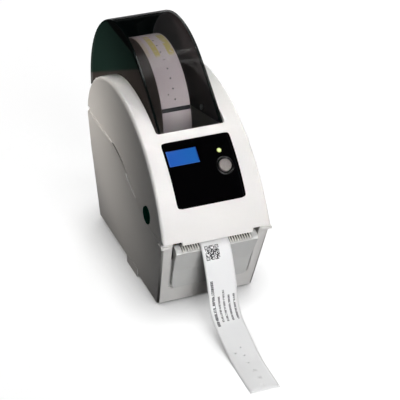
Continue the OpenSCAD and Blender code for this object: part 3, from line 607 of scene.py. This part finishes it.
def turned(profile, steps=64):
    """A lathe shape about +Z from (radius, height) points in millimetres, with its poles closed."""
    shape = bmesh.new()
    points = [shape.verts.new((r*MM, 0, z*MM)) for r, z in profile]
    edges = [shape.edges.new(pair) for pair in zip(points, points[1:])]
    bmesh.ops.spin(shape, geom=points + edges, cent=(0, 0, 0), axis=(0, 0, 1), angle=2*math.pi,
                   steps=steps, use_merge=True)
    bmesh.ops.remove_doubles(shape, verts=shape.verts, dist=0.0005*MM)
    bmesh.ops.recalc_face_normals(shape, faces=shape.faces)
    return shape


def rounded(points, radius, steps=4):
    """An open (radius, height) profile whose corners are rounded by short curves."""
    rows = [points[0]]
    for before, corner, after in zip(points, points[1:], points[2:]):
        corner = Vector(corner)
        ends = []
        for end in (before, after):
            way = Vector(end) - corner
            ends.append(corner + way.normalized()*min(radius, 0.45*way.length))
        for i in range(steps + 1):
            t = i/steps
            rows.append(tuple((1 - t)**2*ends[0] + 2*t*(1 - t)*corner + t*t*ends[1]))
    rows.append(points[-1])
    return rows


def on_face(s, x):
    """The frame on the cover's front face, s millimetres below the panel's top edge."""
    angle = math.radians(PANEL_TOP) + s/FACE_RADIUS
    y, z = FACE_CENTRE + FACE_RADIUS*Vector((math.cos(angle), math.sin(angle)))
    return Matrix.Translation(Vector((x, y, z))*MM) @ Matrix.Rotation(angle - math.pi/2, 4, "X")


def sideways(y, z, x=0.0):
    """The frame of a lathe shape that turns about the X axis."""
    return Matrix.Translation(Vector((x, y, z))*MM) @ Matrix.Rotation(math.pi/2, 4, "Y")


def placed(shape, place):
    """Moves a shape into its frame."""
    bmesh.ops.transform(shape, matrix=place, verts=shape.verts)
    return shape


def marked(shape, across, along):
    """Stores two pattern coordinates in millimetres on a shape's vertices."""
    layers = shape.verts.layers.float.new("across"), shape.verts.layers.float.new("along")
    for vert in shape.verts:
        vert[layers[0]] = across(vert.co/MM)
        vert[layers[1]] = along(vert.co/MM)


def panel_loop(inset, radius, lift, steps=8, sides=14):
    """Points round the panel's edge, inset in its face and lifted above it, with rounded corners."""
    top, bottom = inset + radius, PANEL_H - inset - radius
    right, left = PANEL_W/2 - inset - radius, inset + radius - PANEL_W/2
    corners = [(top, right, 0), (top, left, 90), (bottom, left, 180), (bottom, right, 270)]
    round_points = []
    for s, x, start in corners:
        for i in range(steps + 1):
            angle = math.radians(start + 90*i/steps)
            round_points.append(Vector((s - radius*math.sin(angle), x + radius*math.cos(angle))))
    points = []
    for i, here in enumerate(round_points):
        after = round_points[(i + 1) % len(round_points)]
        count = sides if (i + 1) % (steps + 1) == 0 else 1
        points += [here.lerp(after, k/count) for k in range(count)]
    return [on_face(s, x) @ Vector((0, 0, lift*MM)) for s, x in points]


def panel_rim():
    """The panel's raised rim: a low frame with rounded corners round its edge."""
    # inset, corner radius and lift of each ring
    rows = [(0, 2.6, 0.02), (0.05, 2.6, 0.26), (0.3, 2.4, 0.34), (1.7, 1.2, 0.34), (1.9, 1.0, 0.02)]
    shape = bmesh.new()
    rings = []
    for row in rows:
        points = [shape.verts.new(p) for p in panel_loop(*row)]
        rings.append([shape.edges.new(pair) for pair in zip(points, points[1:] + points[:1])])
    for near, far in zip(rings, rings[1:] + rings[:1]):
        bmesh.ops.bridge_loops(shape, edges=near + far)
    bmesh.ops.recalc_face_normals(shape, faces=shape.faces)
    return made("panel_rim", shape, "panel", "cover", slot="black_gloss", sharp=40)


def display_window():
    """The display: a thin bright window with a bevelled rim, on its module."""
    depth, rim, rim_height = 3.2, 0.5, 0.05
    module_depth, module_place = 1.8, -4.1
    shape = bmesh.new()
    bmesh.ops.create_cube(shape, size=1)
    bmesh.ops.scale(shape, vec=(LCD["w"]*MM, LCD["h"]*MM, depth*MM), verts=shape.verts)
    bmesh.ops.translate(shape, vec=(0, 0, -depth/2*MM), verts=shape.verts)
    top = max(shape.faces, key=lambda f: f.calc_center_median().z)
    bmesh.ops.inset_region(shape, faces=[top], thickness=rim*MM, depth=rim_height*MM)
    module = bmesh.ops.create_cube(shape, size=1)["verts"]
    module_size = Vector((2*MODULE_HALF, LCD["h"] + MODULE_MARGIN, module_depth))*MM
    bmesh.ops.scale(shape, vec=module_size, verts=module)
    bmesh.ops.translate(shape, vec=(0, 0, module_place*MM), verts=module)
    marked(shape, lambda p: p.x, lambda p: p.y)
    placed(shape, on_face(LCD["s"], LCD["x"]))
    return made("display_window", shape, "display", "cover", ["lcd_display"], "display", 30)


def lamp_lens():
    """The lamp: a flanged pin under a low dome."""
    r, tail, flange, dome_height, shoulder = LAMP["r"], -5, 0.2, 0.6, 0.05
    quarter = [i*math.pi/16 for i in range(9)]
    dome = [(r*math.cos(a), shoulder + dome_height*math.sin(a)) for a in quarter]
    dome[-1] = (0, shoulder + dome_height)
    foot = [(0, tail), (r + flange, tail), (r + flange, tail + 1), (r, tail + 1)]
    shape = turned(foot + dome, 48)
    marked(shape, lambda p: math.hypot(p.x, p.y)/r, lambda p: p.z)
    placed(shape, on_face(LAMP["s"], LAMP["x"]))
    return made("lamp_lens", shape, "lamp", "cover", ["status_led"], "lamp")


def button_parts():
    """The feed button's dished cap and the ring round it."""
    r, ring = BUTTON_R, RING_R
    place = on_face(BUTTON_S, BUTTON_X)
    cap = [(0, -3.4), (2, -3.4), (2, -2.6), (r, -2.6), (r, 1.2), (0.7*r, 1.12), (0, 1.05)]
    shape = placed(turned(rounded(cap, 0.45), 72), place)
    made("button_cap", shape, "button", "feed_button", ["feed_button"], "button_grey", 40)
    inner = r + 0.35
    collar = [(inner, -3.4), (ring, -3.4), (ring, 0.3), (ring - 1.2, 0.75), (inner + 0.7, 0.1),
              (inner, -0.4), (inner, -3.4)]
    shape = placed(turned(rounded(collar, 0.4), 96), place)
    made("button_ring", shape, "collar", "cover", ["button_collar"], "dark_plastic", 40)


def roll_parts():
    """The wound media with its stepped layers, and the card tube inside it."""
    half, layers, edge, tube_out = BAND_HALF, 22, 0.4, 0.4
    place = sideways(ROLL_Y, ROLL_Z, BAND_X)
    steps = [CORE_R + (ROLL_R - edge - CORE_R)*i/layers for i in range(layers + 1)]
    side = [(r, half - (0.12 if i % 2 else 0.02)) for i, r in enumerate(steps)]
    outer = [(ROLL_R - 0.12, half - 0.06), (ROLL_R, half - 0.3)]
    profile = side + outer + [(r, -h) for r, h in reversed(side + outer)] + [side[0]]
    shape = placed(turned(profile, 120), place)
    made("roll_windings", shape, "roll", "roll", ["media_roll"], "paper", 40)
    end = half + tube_out
    tube = [(HUB_R, 0), (HUB_R, end), (CORE_R, end), (CORE_R, -end), (HUB_R, -end), (HUB_R, 0)]
    shape = placed(turned(rounded(tube, 0.3, 2), 72), place)
    made("roll_tube", shape, "kraft", "roll", ["roll_core"], "cardboard", 40)


def run(start, heading, length, turn, steps):
    """Points of a path that turns steadily: heading in degrees below the way to the front."""
    points, spot = [], Vector(start)
    for i in range(steps):
        angle = math.radians(heading + turn*(i + 0.5)/steps)
        spot = spot - length/steps*Vector((math.cos(angle), math.sin(angle)))
        points.append(spot)
    return points


def band_route():
    """The band's middle line as (y, z): from the roll's underside over the lip down to the table."""
    fall, steep, sweep, ease = 57, 16, -55, -2
    over_length, bend_length, slope_length, landing_length, rest_length = 14.5, 25, 29, 27.5, 31
    table_gap, rest_steps = 0.05, 6
    slope = fall + steep + sweep
    start = Vector((ROLL_Y, ROLL_Z - ROLL_R - AIR - BAND_T/2))
    lip = Vector((LIP_Y, NIP[1]))
    over = run(lip, 0, over_length, fall, 24)
    low = run((0, 0), fall + steep, bend_length, sweep, 30)
    low += run(low[-1], slope, slope_length, ease, 8)
    low += run(low[-1], slope + ease, landing_length, -(slope + ease), 18)
    unit = run((0, 0), fall, 1, steep, 24)[-1]
    drop = (over[-1].y - BAND_T/2 - table_gap + low[-1].y)/-unit.y
    down = run(over[-1], fall, drop, steep, 24)
    tail = [p + down[-1] for p in low]
    rest = [tail[-1] - Vector((rest_length*i/rest_steps, 0)) for i in range(1, rest_steps + 1)]
    inside = [start.lerp(Vector(NIP), i/8) for i in range(8)]
    return inside + [Vector(NIP), lip] + over + down + tail + rest


def clear_of_holes(point, distance):
    return all((point - Vector(hole)).length > distance for hole in HOLES)


def flat_band(rows, columns):
    """The flat band as (along, across) points and triangles, with its punched holes left open."""
    half, ring = BAND_HALF, 20
    grid = [Vector((s, half*(2*i/columns - 1))) for s in rows for i in range(columns + 1)]
    points = [p for p in grid if clear_of_holes(p, HOLE_R + 0.3)]
    edges = []
    for s, c in HOLES:
        first = len(points)
        for i in range(ring):
            angle = 2*math.pi*i/ring
            points.append(Vector((s + HOLE_R*math.cos(angle), c + HOLE_R*math.sin(angle))))
            edges.append((first + i, first + (i + 1) % ring))
    points, _, faces, *_ = delaunay_2d_cdt(points, edges, [], 0, 0.0001)
    centres = [sum((points[i] for i in face), Vector((0, 0)))/len(face) for face in faces]
    kept = [face for face, centre in zip(faces, centres) if clear_of_holes(centre, 0.96*HOLE_R)]
    return points, kept


def band_strip():
    """The printed band: its flat cut laid along the route, drifting a little to the left past the lip."""
    route = band_route()
    lip = next(i for i, p in enumerate(route) if abs(p.x - LIP_Y) < 0.001)
    lengths = [0.0]
    for before, after in zip(route, route[1:]):
        lengths.append(lengths[-1] + (after - before).length)
    rows = [length - lengths[lip] for length in lengths]
    points, faces = flat_band(rows, 12)
    shape = bmesh.new()
    along, across = shape.verts.layers.float.new("along"), shape.verts.layers.float.new("across")
    for s, c in points:
        i = min(max(bisect.bisect_right(rows, s), 1), len(rows) - 1)
        spot = route[i - 1].lerp(route[i], (s - rows[i - 1])/(rows[i] - rows[i - 1]))
        drift = BAND_DRIFT*(max(s, 0)/rows[-1])**2
        vert = shape.verts.new(Vector((BAND_X + c + drift, spot.x, spot.y))*MM)
        vert[along], vert[across] = s, c
    shape.verts.ensure_lookup_table()
    for face in faces:
        shape.faces.new([shape.verts[i] for i in face])
    bmesh.ops.recalc_face_normals(shape, faces=shape.faces)
    band = made("band_strip", shape, "band", "base", ["printed_band"], "paper", 60)
    thick = band.modifiers.new("thickness", "SOLIDIFY")
    thick.thickness, thick.offset = BAND_T*MM, 0


def foot_pads():
    """Five round rubber feet, each hollowed a little underneath."""
    shape = bmesh.new()
    for x, y, height in FEET:
        profile = [(0, 0.5), (4.2, 0.5), (4.8, 0), (6.0, 0), (FOOT_R, 0.6), (FOOT_R, height), (0, height)]
        pad = turned(rounded(profile, 0.3, 3), 48)
        bmesh.ops.translate(pad, vec=(x*MM, y*MM, 0), verts=pad.verts)
        mesh = meshed("pad", pad)
        shape.from_mesh(mesh)
        bpy.data.meshes.remove(mesh)
    return made("foot_pads", shape, "rubber", "base", ["rubber_feet"], "rubber", 40)


# shells and panel
moulding("cover_shell", "top_cover", "white", "white_plastic")
moulding("base_shell", "base_housing", "white", "white_plastic")
moulding("hood_shell", "media_hood", "hood", "smoked_plastic")
moulding("front_insert", "front_panel", "grey", "grey_plastic", 40)
moulding("panel_plate", "control_panel", "panel", "black_gloss", 40)
moulding("tab_left", "left_release", "green", "green_plastic", 40)
moulding("tab_right", "right_release", "green", "green_plastic", 40)
panel_rim()
display_window()
lamp_lens()
button_parts()

# media and feet
roll_parts()
band_strip()
foot_pads()

# solids whose own form shows
DRESSED = {
    "steel": ["hinge_pins", "mechanism_frame", "stepper_motor", "idler_post", "board_screws", "io_plate",
              "usb_port", "serial_port", "guide_rail", "latch_strikes", "frame_screws", "hood_screws",
              "head_bracket", "head_springs", "tear_bar", "platen_shaft"],
    "brass": ["platen_bushings", "motor_pinion"],
    "head": ["print_head"],
    "switch": ["power_rocker"],
    "dark": ["media_tray", "dc_jack", "switch_frame", "left_holder", "right_holder", "mark_sensor",
             "button_switch", "roll_hub"],
    "board": ["main_board", "control_board"],
    "rubber": ["platen_roller"],
    "acetal": ["platen_gear", "idler_gear", "guide_pinion", "roll_spindle"],
    "blue": ["left_guide", "right_guide"],
}
for finish, names in DRESSED.items():
    for name in names:
        NODES[name].data.materials.clear()
        NODES[name].data.materials.append(FINISHES[finish].material)


def studio_floor():
    """A pale table: white to the eye, in mirrors and through the hood, with the object's shadow on it and
    its glow dimmed near the object as painted contact shade.
    """
    seen_white, bounce = (0.45, 0.45, 0.45), (0.03, 0.03, 0.03)
    shape = bmesh.new()
    bmesh.ops.create_grid(shape, x_segments=1, y_segments=1, size=12)
    floor = linked("table", meshed("table", shape))
    finish = Finish("table_white", seen_white, 0.9, Specular_IOR_Level=0.0, Emission_Strength=0.80)
    path = finish.node("ShaderNodeLightPath", output="Is Camera Ray")
    seen = path.larger(path.other("Is Glossy Ray")).larger(path.other("Is Transmission Ray"))
    finish.set("Base Color", finish.mix(seen, bounce, seen_white))
    # the glow fades where nearby geometry closes in: painted contact shade
    contact_shade_factor = finish.node("ShaderNodeAmbientOcclusion", {"samples": 8}, {"Distance": 0.04}, output="AO")
    finish.set("Emission Color", finish.mix(seen*contact_shade_factor, (0, 0, 0), (1, 1, 1)))
    floor.data.materials.append(finish.material)


def lamp(name, place, aim, size, power, colour=(1, 1, 1), spread=180):
    """A soft lamp in metres and watts; its spread in degrees keeps it on a part of the object."""
    light = bpy.data.lights.new(name, "AREA")
    light.shape = "RECTANGLE"
    light.size, light.size_y = size
    light.energy = power
    light.color = colour
    light.spread = math.radians(spread)
    lamp_object = linked(name, light)
    lamp_object.location = place
    lamp_object.rotation_mode = "QUATERNION"
    lamp_object.rotation_quaternion = (Vector(aim) - Vector(place)).to_track_quat("-Z", "Y")


def studio_light():
    """A dim world, soft lamps in front, above and behind, and narrow ones on cover, band and left side."""
    body, small, warm = (0, -0.06, 0.10), (0.15, 0.15), (1, 0.95, 0.89)
    world = bpy.data.worlds.new("studio")
    bpy.context.scene.world = world
    world.use_nodes = True
    background = world.node_tree.nodes["Background"]
    background.inputs["Color"].default_value = (0.96, 0.98, 1.0, 1)
    background.inputs["Strength"].default_value = 0.02
    lamp("key", (1.148, -1.055, 0.875), (-0.02, -0.03, 0.19), small, 0.115, spread=12)
    lamp("front", (0.111, -1.333, 1.063), body, (0.7, 0.7), 6.5)
    lamp("low_front", (-0.083, -1.642, 0.323), body, (0.6, 0.3), 8.5)
    lamp("top", (0.25, -0.1, 1.6), (0, 0, 0.1), (0.45, 0.45), 5)
    lamp("table", (-0.05, -0.85, 0.8), (0, -0.21, 0), small, 0.045, spread=22)
    lamp("rear_fill", (0.9, 1.2, 0.6), (0, 0.05, 0.10), (0.6, 0.6), 9)
    lamp("rear_left", (-0.82, 0.98, 0.72), (-0.05, 0.13, 0.14), small, 0.07, warm, spread=9)


def studio_camera():
    """The photograph's view: azimuth to the left of the front, elevation, and a slight roll."""
    azimuth, elevation, roll = (math.radians(a) for a in (-22.40, 31.62, 0.96))
    aim = Vector((3.70, -60.0, 91.22))*MM
    distance, lens, sensor = 1.6643, 160.92, 36
    back = Vector((math.sin(azimuth)*math.cos(elevation), -math.cos(azimuth)*math.cos(elevation),
                   math.sin(elevation)))
    tilt = Matrix.Rotation(roll, 3, "Z").to_quaternion()
    camera = linked("camera", bpy.data.cameras.new("camera"))
    camera.data.sensor_width = sensor
    camera.data.lens = lens
    camera.location = aim + distance*back
    camera.rotation_mode = "QUATERNION"
    camera.rotation_quaternion = (-back).to_track_quat("-Z", "Y") @ tilt
    bpy.context.scene.camera = camera


studio_floor()
studio_light()
studio_camera()
bpy.context.scene.view_settings.view_transform = "Standard"
